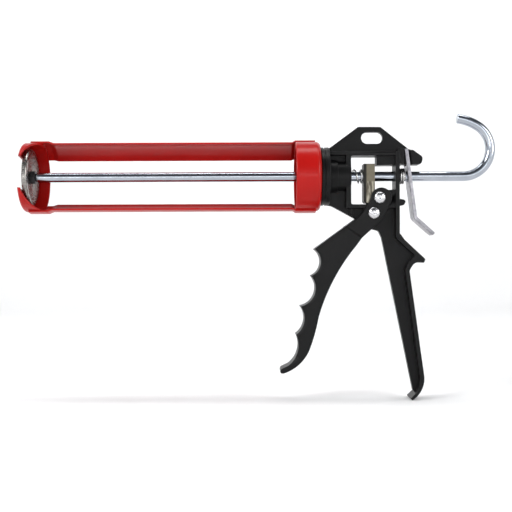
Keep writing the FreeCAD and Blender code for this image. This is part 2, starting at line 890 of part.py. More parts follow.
def buildAll():
    runningGap = SIZE["pinRunningGap"]
    stub = SIZE["stubRadius"]
    stud = SIZE["rodStudRadius"]
    return [
        buildBodyCasting(),
        buildFrontRodBush(),
        buildSwivelNut(),
        buildRing("swivel_washer", 236.0, 237.4, stub + 0.3, 14.6),
        buildFrontCup(),
        buildRearCup(),
        buildStrap("upper_strap", "90 - Sheet.strapMidAngle + Sheet.cradleTurn"),
        buildStrap("lower_strap", "90 + Sheet.strapMidAngle + Sheet.cradleTurn"),
        buildPushRod(),
        buildRing("piston_washer", 3.0, 3.7, stud + runningGap, 7.5, 0.2),
        buildPistonPlate(),
        buildLockNut(),
        buildTrigger(),
        buildRivet("trigger_pivot_rivet", "pivotPinRadius", "pivotPlaceX", "pivotPlaceZ"),
        buildRivet("drive_pin_rivet", "drivePinRadius", "drivePlaceX", "drivePlaceZ"),
        buildCrossSleeve("pivot_bush", "pivotBushRadius", SIZE["pivotPinRadius"] + runningGap,
                         SIZE["frameWidth"] / 2 + 0.1, "pivotPlaceX", "pivotPlaceZ"),
        buildCrossSleeve("drive_roller", "rollerRadius", SIZE["drivePinRadius"] + runningGap,
                         SIZE["rollerLength"] / 2, "drivePlaceX", "drivePlaceZ"),
        buildDriverBlock(),
        buildSpring("return_spring", "returnSpring"),
        buildSpring("release_spring", "releaseSpring"),
        buildReleasePlate(),
    ]


def exportAll(bodies):
    doc.recompute()
    problems = []
    for item in doc.Objects:
        if "Invalid" in item.State or "Error" in item.State:
            problems.append(f"{item.Name}: {item.State}")
    for body in bodies:
        shape = body.Shape
        if shape.isNull() or not shape.isValid() or not shape.Solids:
            problems.append(f"{body.Label}: no valid solid")
    if problems:
        raise RuntimeError("; ".join(problems))
    for body in bodies:
        body.Shape.exportStep(f"parts/{body.Label}.step")
        box = body.Shape.BoundBox
        print(f"{body.Label}: {len(body.Shape.Solids)} solid, {body.Shape.Volume:.1f} mm3, "
              f"x {box.XMin:.2f} to {box.XMax:.2f}, y {box.YMin:.2f} to {box.YMax:.2f}, "
              f"z {box.ZMin:.2f} to {box.ZMax:.2f}")


exportAll(buildAll())
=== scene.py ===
import math

import bmesh
import bpy
from mathutils import Matrix, Vector


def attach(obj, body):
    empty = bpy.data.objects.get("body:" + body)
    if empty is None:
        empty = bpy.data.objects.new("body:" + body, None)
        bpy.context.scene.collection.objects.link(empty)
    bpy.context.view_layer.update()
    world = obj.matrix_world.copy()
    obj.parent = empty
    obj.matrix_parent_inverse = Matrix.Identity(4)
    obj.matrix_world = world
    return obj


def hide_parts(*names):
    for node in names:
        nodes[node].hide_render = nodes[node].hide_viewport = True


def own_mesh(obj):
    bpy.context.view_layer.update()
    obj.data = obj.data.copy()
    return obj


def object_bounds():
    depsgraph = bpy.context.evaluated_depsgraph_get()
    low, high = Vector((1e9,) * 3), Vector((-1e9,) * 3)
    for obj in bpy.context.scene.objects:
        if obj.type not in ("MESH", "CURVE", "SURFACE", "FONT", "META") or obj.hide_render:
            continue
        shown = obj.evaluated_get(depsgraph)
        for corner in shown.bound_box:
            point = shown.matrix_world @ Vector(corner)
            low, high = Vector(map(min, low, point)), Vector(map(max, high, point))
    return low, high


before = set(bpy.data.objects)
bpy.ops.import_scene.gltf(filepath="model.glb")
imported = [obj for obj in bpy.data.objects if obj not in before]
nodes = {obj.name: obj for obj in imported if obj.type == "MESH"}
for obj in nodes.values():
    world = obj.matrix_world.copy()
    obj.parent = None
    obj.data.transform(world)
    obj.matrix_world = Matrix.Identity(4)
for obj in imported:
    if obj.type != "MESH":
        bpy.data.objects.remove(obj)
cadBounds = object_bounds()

scene = bpy.context.scene
mm = 0.001
print("frame loaded:", len(nodes), "parts")

# The view: straight on to the open side, a little below the push rod.
view = {
    "place": (0.1871, -0.729, -0.064),
    "lens": 63.3,          # mm, on a 36 mm sensor
    "roll": -0.0037,       # the gun leans back by a fifth of a degree
}

stage = {
    "floorHalf": 6.0,
    "behind": 1.1,         # from the gun to the wall
    "sweep": 0.5,          # radius of the curve between floor and wall
    "sweepSteps": 12,
    "height": 2.4,
    "colour": (0.90, 0.90, 0.90),
    "speckle": (0.88, 0.88, 0.88),
    "farGlow": (0.60, 0.60, 0.61),     # keeps the floor pale where the lamps don't reach
    "farFrom": 1.9,        # from the gun to where the glow starts
    "farTo": 3.2,
}

studio = {
    "lamps": [
        {"name": "keySoftbox", "place": (-1.2, -1.0, 0.9), "size": (0.9, 0.9),
         "power": 24.0, "aim": (0.19, 0.0, -0.03)},
        {"name": "fillSoftbox", "place": (1.6, -0.9, 0.5), "size": (0.8, 1.0),
         "power": 13.0, "aim": (0.19, 0.0, -0.03)},
        {"name": "stripFront", "place": (0.15, -1.4, 0.04), "size": (1.6, 0.14),
         "power": 3.0, "aim": (0.19, 0.0, -0.03)},
        {"name": "wallWash", "place": (0.2, 0.1, 1.5), "size": (1.8, 0.5),
         "power": 20.0, "aim": (0.2, 1.3, -0.1)},
    ],
    "airLow": (0.86, 0.88, 0.91),      # light from the room at eye level
    "airHigh": (0.10, 0.105, 0.115),   # the dark ceiling
    "airFade": (0.16, 0.5),            # how high the light turns dark, as a share of straight up
    "airStrength": 0.85,
}


def aimAt(item, target):
    direction = target - item.location
    item.rotation_euler = direction.to_track_quat("-Z", "Y").to_euler()


def makeCamera():
    data = bpy.data.cameras.new("view")
    data.lens = view["lens"]
    data.sensor_width = 36.0
    data.clip_start = 0.01
    camera = bpy.data.objects.new("view", data)
    scene.collection.objects.link(camera)
    upright = Matrix.Rotation(math.radians(90), 4, "X")
    turn = upright @ Matrix.Rotation(view["roll"], 4, "Z")
    camera.matrix_world = Matrix.Translation(view["place"]) @ turn
    scene.camera = camera


def makeLights():
    for lamp in studio["lamps"]:
        data = bpy.data.lights.new(lamp["name"], "AREA")
        data.shape = "RECTANGLE"
        data.size, data.size_y = lamp["size"]
        data.energy = lamp["power"]
        light = bpy.data.objects.new(lamp["name"], data)
        light.location = lamp["place"]
        scene.collection.objects.link(light)
        aimAt(light, Vector(lamp["aim"]))


def makeAir():
    world = bpy.data.worlds.new("studioAir")
    scene.world = world
    world.use_nodes = True
    tree = world.node_tree
    background = tree.nodes["Background"]
    place = addNode(tree, "ShaderNodeTexCoord")
    split = addNode(tree, "ShaderNodeSeparateXYZ")
    tree.links.new(place.outputs["Generated"], split.inputs[0])
    height = rangeOf(tree, split.outputs["Z"], 0.0, 1.0, *studio["airFade"])
    colour = mixColour(tree, height, studio["airLow"], studio["airHigh"])
    tree.links.new(colour, background.inputs["Color"])
    background.inputs["Strength"].default_value = studio["airStrength"]


def makeStage(floorHeight):
    half = stage["floorHalf"]
    sweep = stage["sweep"]
    behind = stage["behind"]
    profile = [(-half, floorHeight), (behind, floorHeight)]
    steps = stage["sweepSteps"]
    for step in range(1, steps + 1):
        angle = math.radians(90) * step / steps
        lift = sweep * (1 - math.cos(angle))
        profile.append((behind + sweep * math.sin(angle), floorHeight + lift))
    profile.append((behind + sweep, floorHeight + stage["height"]))
    mesh = bpy.data.meshes.new("paleStage")
    shape = bmesh.new()
    rows = []
    for side in (-half, half):
        rows.append([shape.verts.new((side, y, z)) for y, z in profile])
    for index in range(len(profile) - 1):
        shape.faces.new((rows[0][index], rows[1][index], rows[1][index + 1], rows[0][index + 1]))
    for face in shape.faces:
        face.smooth = True
    shape.to_mesh(mesh)
    shape.free()
    floor = bpy.data.objects.new("paleStage", mesh)
    scene.collection.objects.link(floor)
    mesh.materials.append(paperWhite())


# Small helpers for node trees.

def newMaterial(name):
    material = bpy.data.materials.new(name)
    material.use_nodes = True
    tree = material.node_tree
    shader = tree.nodes["Principled BSDF"]
    return material, tree, shader


def addNode(tree, kind, **settings):
    node = tree.nodes.new(kind)
    for key, value in settings.items():
        setattr(node, key, value)
    return node


def newGroup(name, inputs, outputs):
    group = bpy.data.node_groups.new(name, "ShaderNodeTree")
    for label, kind, value in inputs:
        socket = group.interface.new_socket(name=label, in_out="INPUT", socket_type=kind)
        socket.default_value = value
    for label, kind in outputs:
        group.interface.new_socket(name=label, in_out="OUTPUT", socket_type=kind)
    return group, group.nodes.new("NodeGroupInput"), group.nodes.new("NodeGroupOutput")


def placeGroup(tree, group, **values):
    node = tree.nodes.new("ShaderNodeGroup")
    node.node_tree = group
    for key, value in values.items():
        node.inputs[key].default_value = value
    return node


def mixColour(tree, factor, first, second):
    mix = addNode(tree, "ShaderNodeMix", data_type="RGBA")
    tree.links.new(factor, mix.inputs[0])
    for socket, value in ((mix.inputs[6], first), (mix.inputs[7], second)):
        if isinstance(value, tuple):
            socket.default_value = (*value, 1.0)
        else:
            tree.links.new(value, socket)
    return mix.outputs[2]


def rangeOf(tree, value, low, high, fromLow=0.0, fromHigh=1.0):
    remap = addNode(tree, "ShaderNodeMapRange")
    tree.links.new(value, remap.inputs["Value"])
    remap.inputs["From Min"].default_value = fromLow
    remap.inputs["From Max"].default_value = fromHigh
    remap.inputs["To Min"].default_value = low
    remap.inputs["To Max"].default_value = high
    return remap.outputs["Result"]


def bumpFrom(tree, shader, height, distance, strength=1.0):
    bump = addNode(tree, "ShaderNodeBump")
    bump.inputs["Distance"].default_value = distance
    bump.inputs["Strength"].default_value = strength
    tree.links.new(height, bump.inputs["Height"])
    tree.links.new(bump.outputs["Normal"], shader.inputs["Normal"])


# Effects that several finishes share.

def buildEdgeWear():
    group, source, sink = newGroup(
        "edgeWear",
        [("Radius", "NodeSocketFloat", 0.0006),
         ("Breakup", "NodeSocketFloat", 220.0),
         ("Amount", "NodeSocketFloat", 0.5)],
        [("Mask", "NodeSocketFloat")],
    )
    link = group.links.new
    bevel = addNode(group, "ShaderNodeBevel", samples=4)
    link(source.outputs["Radius"], bevel.inputs["Radius"])
    geometry = addNode(group, "ShaderNodeNewGeometry")
    compare = addNode(group, "ShaderNodeVectorMath", operation="DOT_PRODUCT")
    link(bevel.outputs["Normal"], compare.inputs[0])
    link(geometry.outputs["Normal"], compare.inputs[1])
    sharp = addNode(group, "ShaderNodeMapRange")
    sharp.inputs["From Min"].default_value = 0.995
    sharp.inputs["From Max"].default_value = 0.86
    link(compare.outputs["Value"], sharp.inputs["Value"])
    place = addNode(group, "ShaderNodeTexCoord")
    noise = addNode(group, "ShaderNodeTexNoise")
    noise.inputs["Detail"].default_value = 5.0
    link(place.outputs["Object"], noise.inputs["Vector"])
    link(source.outputs["Breakup"], noise.inputs["Scale"])
    patch = addNode(group, "ShaderNodeMapRange")
    patch.inputs["From Min"].default_value = 0.45
    patch.inputs["From Max"].default_value = 0.62
    link(noise.outputs["Fac"], patch.inputs["Value"])
    wornAway = addNode(group, "ShaderNodeMath", operation="MULTIPLY")
    link(sharp.outputs["Result"], wornAway.inputs[0])
    link(patch.outputs["Result"], wornAway.inputs[1])
    scaled = addNode(group, "ShaderNodeMath", operation="MULTIPLY", use_clamp=True)
    link(wornAway.outputs[0], scaled.inputs[0])
    link(source.outputs["Amount"], scaled.inputs[1])
    link(scaled.outputs[0], sink.inputs["Mask"])
    return group


def buildGrain():
    group, source, sink = newGroup(
        "grain",
        [("Scale", "NodeSocketFloat", 900.0),
         ("Stretch", "NodeSocketVector", (1.0, 1.0, 1.0)),
         ("Detail", "NodeSocketFloat", 4.0)],
        [("Value", "NodeSocketFloat")],
    )
    link = group.links.new
    place = addNode(group, "ShaderNodeTexCoord")
    stretch = addNode(group, "ShaderNodeVectorMath", operation="MULTIPLY")
    link(place.outputs["Object"], stretch.inputs[0])
    link(source.outputs["Stretch"], stretch.inputs[1])
    noise = addNode(group, "ShaderNodeTexNoise")
    link(stretch.outputs["Vector"], noise.inputs["Vector"])
    link(source.outputs["Scale"], noise.inputs["Scale"])
    link(source.outputs["Detail"], noise.inputs["Detail"])
    link(noise.outputs["Fac"], sink.inputs["Value"])
    return group


def buildScuffs():
    group, source, sink = newGroup(
        "scuffs",
        [("Scale", "NodeSocketFloat", 120.0),
         ("Stretch", "NodeSocketVector", (1.0, 1.0, 1.0)),
         ("Amount", "NodeSocketFloat", 0.3)],
        [("Mask", "NodeSocketFloat")],
    )
    link = group.links.new
    place = addNode(group, "ShaderNodeTexCoord")
    stretch = addNode(group, "ShaderNodeVectorMath", operation="MULTIPLY")
    link(place.outputs["Object"], stretch.inputs[0])
    link(source.outputs["Stretch"], stretch.inputs[1])
    cells = addNode(group, "ShaderNodeTexNoise")
    cells.inputs["Detail"].default_value = 8.0
    cells.inputs["Roughness"].default_value = 0.7
    link(stretch.outputs["Vector"], cells.inputs["Vector"])
    link(source.outputs["Scale"], cells.inputs["Scale"])
    thin = addNode(group, "ShaderNodeMapRange")
    thin.inputs["From Min"].default_value = 0.6
    thin.inputs["From Max"].default_value = 0.72
    link(cells.outputs["Fac"], thin.inputs["Value"])
    scaled = addNode(group, "ShaderNodeMath", operation="MULTIPLY", use_clamp=True)
    link(thin.outputs["Result"], scaled.inputs[0])
    link(source.outputs["Amount"], scaled.inputs[1])
    link(scaled.outputs[0], sink.inputs["Mask"])
    return group


edgeWear = buildEdgeWear()
grain = buildGrain()
scuffs = buildScuffs()


# Finishes.

def paperWhite():
    material, tree, shader = newMaterial("paperWhite")
    speckle = placeGroup(tree, grain, Scale=60.0)
    colour = mixColour(tree, speckle.outputs["Value"], stage["speckle"], stage["colour"])
    tree.links.new(colour, shader.inputs["Base Color"])
    place = addNode(tree, "ShaderNodeTexCoord")
    distance = addNode(tree, "ShaderNodeVectorMath", operation="LENGTH")
    tree.links.new(place.outputs["Object"], distance.inputs[0])
    farAway = rangeOf(tree, distance.outputs["Value"], 0.0, 1.0,
                      stage["farFrom"], stage["farTo"])
    glow = mixColour(tree, farAway, (0.0, 0.0, 0.0), stage["farGlow"])
    tree.links.new(glow, shader.inputs["Emission Color"])
    shader.inputs["Emission Strength"].default_value = 1.0
    shader.inputs["Roughness"].default_value = 0.8
    shader.inputs["Specular IOR Level"].default_value = 0.2
    return material


redEnamel = {
    "lit": (0.42, 0.0065, 0.005),
    "deep": (0.33, 0.005, 0.004),
    "worn": (0.26, 0.07, 0.055),
    "scuff": (0.50, 0.06, 0.05),
    "coat": 0.12,
    "shine": 0.15,
}


def makeRedEnamel():
    material, tree, shader = newMaterial("redEnamel")
    link = tree.links.new
    cloud = placeGroup(tree, grain, Scale=45.0, Detail=3.0)
    peel = placeGroup(tree, grain, Scale=520.0, Detail=2.0)
    wear = placeGroup(tree, edgeWear, Radius=0.0005, Breakup=300.0, Amount=0.3)
    rub = placeGroup(tree, scuffs, Scale=150.0, Stretch=(0.15, 1.0, 1.0), Amount=0.16)
    base = mixColour(tree, cloud.outputs["Value"], redEnamel["deep"], redEnamel["lit"])
    rubbed = mixColour(tree, rub.outputs["Mask"], base, redEnamel["scuff"])
    worn = mixColour(tree, wear.outputs["Mask"], rubbed, redEnamel["worn"])
    link(worn, shader.inputs["Base Color"])
    link(rangeOf(tree, cloud.outputs["Value"], 0.26, 0.38), shader.inputs["Roughness"])
    shader.inputs["Specular IOR Level"].default_value = redEnamel["shine"]
    shader.inputs["Coat Weight"].default_value = redEnamel["coat"]
    shader.inputs["Coat Roughness"].default_value = 0.14
    bumpFrom(tree, shader, peel.outputs["Value"], 0.00005, 0.5)
    return material


blackCoat = {
    "flat": (0.0040, 0.0040, 0.0043),
    "dusty": (0.0078, 0.0078, 0.0080),
    "worn": (0.030, 0.028, 0.026),
    "scuff": (0.018, 0.018, 0.018),
    "shine": 0.15,
}


def makeBlackCoat():
    material, tree, shader = newMaterial("blackCoat")
    link = tree.links.new
    cloud = placeGroup(tree, grain, Scale=60.0, Detail=4.0)
    pebble = placeGroup(tree, grain, Scale=1500.0, Detail=2.0)
    wear = placeGroup(tree, edgeWear, Radius=0.0006, Breakup=260.0, Amount=0.55)
    rub = placeGroup(tree, scuffs, Scale=190.0, Stretch=(1.0, 1.0, 0.3), Amount=0.25)
    base = mixColour(tree, cloud.outputs["Value"], blackCoat["flat"], blackCoat["dusty"])
    rubbed = mixColour(tree, rub.outputs["Mask"], base, blackCoat["scuff"])
    worn = mixColour(tree, wear.outputs["Mask"], rubbed, blackCoat["worn"])
    link(worn, shader.inputs["Base Color"])
    link(rangeOf(tree, cloud.outputs["Value"], 0.32, 0.46), shader.inputs["Roughness"])
    shader.inputs["Specular IOR Level"].default_value = blackCoat["shine"]
    bumpFrom(tree, shader, pebble.outputs["Value"], 0.00005, 0.55)
    return material


def makeMetal(look):
    material, tree, shader = newMaterial(look["name"])
    link = tree.links.new
    cloud = placeGroup(tree, grain, Scale=look["cloud"], Detail=4.0)
    lines = placeGroup(tree, grain, Scale=look["grain"], Stretch=look["stretch"],
                       Detail=3.0)
    wear = placeGroup(tree, edgeWear, Radius=0.0004, Breakup=300.0, Amount=look["wear"])
    rub = placeGroup(tree, scuffs, Scale=260.0, Stretch=look["stretch"],
                     Amount=look["scuff"])
    base = mixColour(tree, cloud.outputs["Value"], look["dull"], look["bright"])
    rubbed = mixColour(tree, rub.outputs["Mask"], base, look["rubbed"])
    worn = mixColour(tree, wear.outputs["Mask"], rubbed, look["rubbed"])
    link(worn, shader.inputs["Base Color"])
    low, high = look["roughness"]
    polish = rangeOf(tree, lines.outputs["Value"], low, high, 0.3, 0.7)
    link(polish, shader.inputs["Roughness"])
    shader.inputs["Metallic"].default_value = look["metallic"]
    bumpFrom(tree, shader, lines.outputs["Value"], look["bump"], 0.5)
    return material


metalLooks = [
    {"name": "brightZinc",
     "bright": (0.50, 0.53, 0.58), "dull": (0.34, 0.37, 0.42), "rubbed": (0.66, 0.68, 0.70),
     "roughness": (0.10, 0.22), "stretch": (0.05, 1.0, 1.0), "grain": 900.0, "cloud": 80.0,
     "bump": 0.00002, "metallic": 1.0, "wear": 0.2, "scuff": 0.2},
    {"name": "pressedZinc",
     "bright": (0.36, 0.35, 0.33), "dull": (0.20, 0.19, 0.18), "rubbed": (0.66, 0.65, 0.60),
     "roughness": (0.20, 0.34), "stretch": (1.0, 1.0, 1.0), "grain": 700.0, "cloud": 120.0,
     "bump": 0.00002, "metallic": 1.0, "wear": 0.6, "scuff": 0.2},
    {"name": "rivetSteel",
     "bright": (0.72, 0.72, 0.73), "dull": (0.52, 0.52, 0.54), "rubbed": (0.86, 0.86, 0.86),
     "roughness": (0.20, 0.32), "stretch": (1.0, 1.0, 1.0), "grain": 700.0, "cloud": 160.0,
     "bump": 0.00002, "metallic": 1.0, "wear": 0.2, "scuff": 0.2},
    {"name": "zincSheet",
     "bright": (0.46, 0.455, 0.48), "dull": (0.11, 0.105, 0.125), "rubbed": (0.84, 0.84, 0.84),
     "roughness": (0.22, 0.45), "stretch": (1.0, 1.0, 0.3), "grain": 900.0, "cloud": 420.0,
     "bump": 0.00004, "metallic": 1.0, "wear": 0.6, "scuff": 0.6},
    {"name": "springWire",
     "bright": (0.72, 0.71, 0.70), "dull": (0.48, 0.48, 0.47), "rubbed": (0.8, 0.8, 0.8),
     "roughness": (0.14, 0.30), "stretch": (1.0, 1.0, 1.0), "grain": 900.0, "cloud": 200.0,
     "bump": 0.00002, "metallic": 1.0, "wear": 0.1, "scuff": 0.1},
    {"name": "darkSteel",
     "bright": (0.09, 0.09, 0.095), "dull": (0.035, 0.035, 0.04), "rubbed": (0.25, 0.25, 0.25),
     "roughness": (0.28, 0.45), "stretch": (1.0, 1.0, 1.0), "grain": 600.0, "cloud": 150.0,
     "bump": 0.00003, "metallic": 0.9, "wear": 0.4, "scuff": 0.2},
    {"name": "bushBronze",
     "bright": (0.52, 0.36, 0.15), "dull": (0.34, 0.23, 0.09), "rubbed": (0.68, 0.52, 0.28),
     "roughness": (0.30, 0.50), "stretch": (1.0, 1.0, 1.0), "grain": 800.0, "cloud": 300.0,
     "bump": 0.00003, "metallic": 1.0, "wear": 0.3, "scuff": 0.2},
]

driverFinish = {
    "olive": (0.20, 0.18, 0.13),
    "brown": (0.10, 0.088, 0.066),
    "dark": (0.022, 0.021, 0.019),
    "wornAndLitCream": (0.48, 0.45, 0.36),
    "facePlate": 276.0,      # mm along the rod, where the dark front face ends
    "shadeBorderHigh": -4.5,        # mm above the rod, where the painted shade border lies: darker above, lighter and streaked below
    "blur": (0.4, 0.7),      # mm over which those two borders fade
}


def makeDriverSteel():
    material, tree, shader = newMaterial("driverSteel")
    link = tree.links.new
    place = addNode(tree, "ShaderNodeTexCoord")
    split = addNode(tree, "ShaderNodeSeparateXYZ")
    link(place.outputs["Object"], split.inputs[0])
    face = driverFinish["facePlate"] * mm
    band = driverFinish["shadeBorderHigh"] * mm
    blurX, blurZ = driverFinish["blur"]
    onFace = rangeOf(tree, split.outputs["X"], 1.0, 0.0, face - blurX * mm, face + blurX * mm)
    litBelowBorder = rangeOf(tree, split.outputs["Z"], 1.0, 0.0, band - blurZ * mm, band + blurZ * mm)
    cloud = placeGroup(tree, grain, Scale=260.0, Detail=4.0)
    streaks = placeGroup(tree, grain, Scale=420.0, Stretch=(1.0, 1.0, 0.18), Detail=3.0)
    wear = placeGroup(tree, edgeWear, Radius=0.0005, Breakup=260.0, Amount=0.6)
    rub = placeGroup(tree, scuffs, Scale=300.0, Stretch=(1.0, 1.0, 0.25), Amount=0.5)
    upper = mixColour(tree, cloud.outputs["Value"], driverFinish["brown"],
                      driverFinish["olive"])
    # painted light and shade: below the border the block is drawn lighter, in cream and brown
    # stripes, and above it stays darker olive and brown
    streak = rangeOf(tree, streaks.outputs["Value"], 0.0, 1.0, 0.45, 0.62)
    litStripes = mixColour(tree, streak, driverFinish["brown"], driverFinish["wornAndLitCream"])
    lower = mixColour(tree, litBelowBorder, upper, litStripes)
    faced = mixColour(tree, onFace, lower, driverFinish["dark"])
    rubbed = mixColour(tree, rub.outputs["Mask"], faced, driverFinish["olive"])
    worn = mixColour(tree, wear.outputs["Mask"], rubbed, driverFinish["wornAndLitCream"])
    link(worn, shader.inputs["Base Color"])
    link(rangeOf(tree, cloud.outputs["Value"], 0.32, 0.5), shader.inputs["Roughness"])
    shader.inputs["Metallic"].default_value = 0.85
    bumpFrom(tree, shader, streaks.outputs["Value"], 0.00005, 0.6)
    return material


finishes = {
    "redEnamel": makeRedEnamel(),
    "blackCoat": makeBlackCoat(),
    "driverSteel": makeDriverSteel(),
}
for look in metalLooks:
    finishes[look["name"]] = makeMetal(look)
print("finishes made:", len(finishes))

wornBy = {
    "blackCoat": ("body_casting", "trigger"),
    "redEnamel": ("front_cup", "rear_cup", "upper_strap", "lower_strap"),
    "brightZinc": ("push_rod",),
    "pressedZinc": ("piston_plate",),
    "rivetSteel": ("trigger_pivot_rivet", "drive_pin_rivet"),
    "zincSheet": ("release_plate", "piston_washer", "swivel_washer"),
    "driverSteel": ("driver_block",),
    "springWire": ("return_spring", "release_spring"),
    "darkSteel": ("piston_lock_nut", "swivel_nut", "drive_roller"),
    "bushBronze": ("front_rod_bush", "pivot_bush"),
}


def dress():
    for finish, names in wornBy.items():
        for name in names:
            mesh = nodes[name].data
            mesh.materials.clear()
            mesh.materials.append(finishes[finish])


# Rounded edges on the pieces that keep the machined shape.

meshCare = {
    "weldWithin": 0.000004,   # m
    "flatWithin": 0.6,        # degrees
    "crispFrom": 32,          # degrees, the least turn that counts as an edge
    "normalWeight": 80,
}

# widths in mm, angles in degrees
softEdges = {
    "front_cup": {"width": 0.30, "segments": 2, "angle": 40, "clamp": True},
    "rear_cup": {"width": 0.30, "segments": 2, "angle": 40},
    "upper_strap": {"width": 0.35, "segments": 3, "angle": 40},
    "lower_strap": {"width": 0.35, "segments": 3, "angle": 40},
    "piston_plate": {"width": 0.25, "segments": 2, "angle": 40},
    "piston_lock_nut": {"width": 0.35, "segments": 2, "angle": 25},
    "driver_block": {"width": 0.45, "segments": 3, "angle": 40},
    "release_plate": {"width": 0.45, "segments": 3, "angle": 40},
    "swivel_nut": {"width": 0.25, "segments": 2, "angle": 40},
    "swivel_washer": {"width": 0.15, "segments": 2, "angle": 40},
    "front_rod_bush": {"width": 0.15, "segments": 2, "angle": 40},
    "pivot_bush": {"width": 0.15, "segments": 2, "angle": 40},
    "drive_roller": {"width": 0.20, "segments": 2, "angle": 40},
}


def evenNormals(item, keepSharp=False):
    even = item.modifiers.new("evenNormals", "WEIGHTED_NORMAL")
    even.weight = meshCare["normalWeight"]
    even.keep_sharp = keepSharp


def roundEdges(item, rounding):
    weld = item.modifiers.new("weld", "WELD")
    weld.merge_threshold = meshCare["weldWithin"]
    flatten = item.modifiers.new("flatten", "DECIMATE")
    flatten.decimate_type = "DISSOLVE"
    flatten.angle_limit = math.radians(meshCare["flatWithin"])
    bevel = item.modifiers.new("roundEdges", "BEVEL")
    bevel.width = rounding["width"] * mm
    bevel.segments = rounding["segments"]
    bevel.limit_method = "ANGLE"
    bevel.angle_limit = math.radians(rounding["angle"])
    bevel.use_clamp_overlap = rounding.get("clamp", False)
    evenNormals(item)
    for face in item.data.polygons:
        face.use_smooth = True


def softenAll():
    for name, rounding in softEdges.items():
        roundEdges(nodes[name], rounding)


# Pieces made here: swept and turned shapes with a finer surface.

def ringAround(centre, first, second, radius, sides):
    points = []
    for index in range(sides):
        angle = 2 * math.pi * index / sides
        point = centre + first * (radius * math.cos(angle)) + second * (radius * math.sin(angle))
        points.append(point)
    return points


def meshFromRings(name, rings, startPoint, endPoint):
    shape = bmesh.new()
    rows = [[shape.verts.new(point) for point in ring] for ring in rings]
    sides = len(rings[0])
    for before, after in zip(rows, rows[1:]):
        for index in range(sides):
            following = (index + 1) % sides
            corners = (before[index], before[following], after[following], after[index])
            shape.faces.new(corners)
    for row, point in ((rows[0], startPoint), (rows[-1], endPoint)):
        tip = shape.verts.new(point)
        for index in range(sides):
            shape.faces.new((row[index], row[(index + 1) % sides], tip))
    bmesh.ops.recalc_face_normals(shape, faces=shape.faces)
    for face in shape.faces:
        face.smooth = True
    mesh = bpy.data.meshes.new(name)
    shape.to_mesh(mesh)
    shape.free()
    return mesh


def addPiece(name, mesh, body, stoodFor, finish):
    piece = bpy.data.objects.new(name, mesh)
    scene.collection.objects.link(piece)
    mesh.materials.append(finishes[finish])
    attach(piece, body)
    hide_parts(stoodFor)
    return piece


# lengths in mm from the front end, angles in degrees
rodShape = {
    "radius": 3.95,
    "studRadius": 2.95,
    "nose": [(1.7, 0.5), (1.76, 1.4), (1.95, 2.6), (2.3, 3.6),
             (2.75, 4.35), (2.88, 4.5), (2.93, 4.4), (2.95, 2.95)],
    "studEnd": 9.2,
    "shoulder": 10.4,
    "hookStart": 354.9,
    "hookRadius": 22.1,
    "hookSweep": 147.0,
    "tipRadius": 38.0,
    "tipSweep": 27.0,
    "tipChamfer": 0.7,
    "barSteps": 12,
    "hookSteps": 60,
    "tipSteps": 18,
    "sides": 56,
}


def makePushRod():
    across = Vector((0, 1, 0))
    along = Vector((1, 0, 0))
    sides = rodShape["sides"]
    radius = rodShape["radius"]
    studEnd = rodShape["studEnd"]
    studRadius = rodShape["studRadius"]
    shoulder = rodShape["shoulder"]
    start = rodShape["hookStart"]
    turned = list(rodShape["nose"])
    turned += [(studEnd, studRadius), (studEnd + 0.15, studRadius + 0.12)]
    turned += [(shoulder - 0.15, radius - 0.1), (shoulder + 0.1, radius)]
    runs = rodShape["barSteps"]
    for index in range(runs + 1):
        turned.append((shoulder + 0.4 + (start - shoulder - 0.4) * index / runs, radius))
    stations = [(Vector((x, 0, 0)), along, ringRadius) for x, ringRadius in turned]
    hookCentre = Vector((start, 0, rodShape["hookRadius"]))

    def alongArc(middle, arcRadius, degrees):
        angle = math.radians(degrees - 90)
        outward = Vector((math.cos(angle), 0, math.sin(angle)))
        forward = Vector((-math.sin(angle), 0, math.cos(angle)))
        return middle + outward * arcRadius, forward

    hookRadius = rodShape["hookRadius"]
    hookSweep = rodShape["hookSweep"]
    tipRadius = rodShape["tipRadius"]
    tipSweep = rodShape["tipSweep"]
    chamfer = rodShape["tipChamfer"]
    for index in range(1, rodShape["hookSteps"] + 1):
        sweep = hookSweep * index / rodShape["hookSteps"]
        place, forward = alongArc(hookCentre, hookRadius, sweep)
        stations.append((place, forward, radius))
    tipCentre = alongArc(hookCentre, hookRadius - tipRadius, hookSweep)[0]
    for index in range(1, rodShape["tipSteps"] + 1):
        sweep = (tipSweep - math.degrees(chamfer / tipRadius)) * index / rodShape["tipSteps"]
        place, forward = alongArc(tipCentre, tipRadius, hookSweep + sweep)
        stations.append((place, forward, radius))
    endPlace, endForward = alongArc(tipCentre, tipRadius, hookSweep + tipSweep)
    stations.append((endPlace - endForward * (chamfer * 0.3), endForward, radius - chamfer * 0.35))
    stations.append((endPlace, endForward, radius - chamfer))
    stations.append((endPlace, endForward, radius - chamfer * 1.3))
    rings = []
    for place, forward, ringRadius in stations:
        rings.append(ringAround(place * mm, across, forward.cross(across), ringRadius * mm, sides))
    noseTip = Vector((rodShape["nose"][0][0] * mm, 0, 0))
    mesh = meshFromRings("rodBar", rings, noseTip, endPlace * mm)
    addPiece("rodBar", mesh, "rod", "push_rod", "brightZinc")


# mm, with each rivet's place along the rod and above it
rivetShape = {
    "seat": 12.3,
    "headRadius": 4.7,
    "headHeight": 2.6,
    "dimpleRadius": 1.5,
    "dimpleDepth": 0.3,
    "domeFrom": 0.28,        # the share of the dome that the dimple takes
    "domeSteps": 12,
    "sides": 48,
    "rivets": [
        {"name": "pivotRivet", "node": "trigger_pivot_rivet", "place": (281.3, -30.0),
         "shank": 3.0},
        {"name": "driveRivet", "node": "drive_pin_rivet", "place": (285.9, -17.7),
         "shank": 2.0},
    ],
}


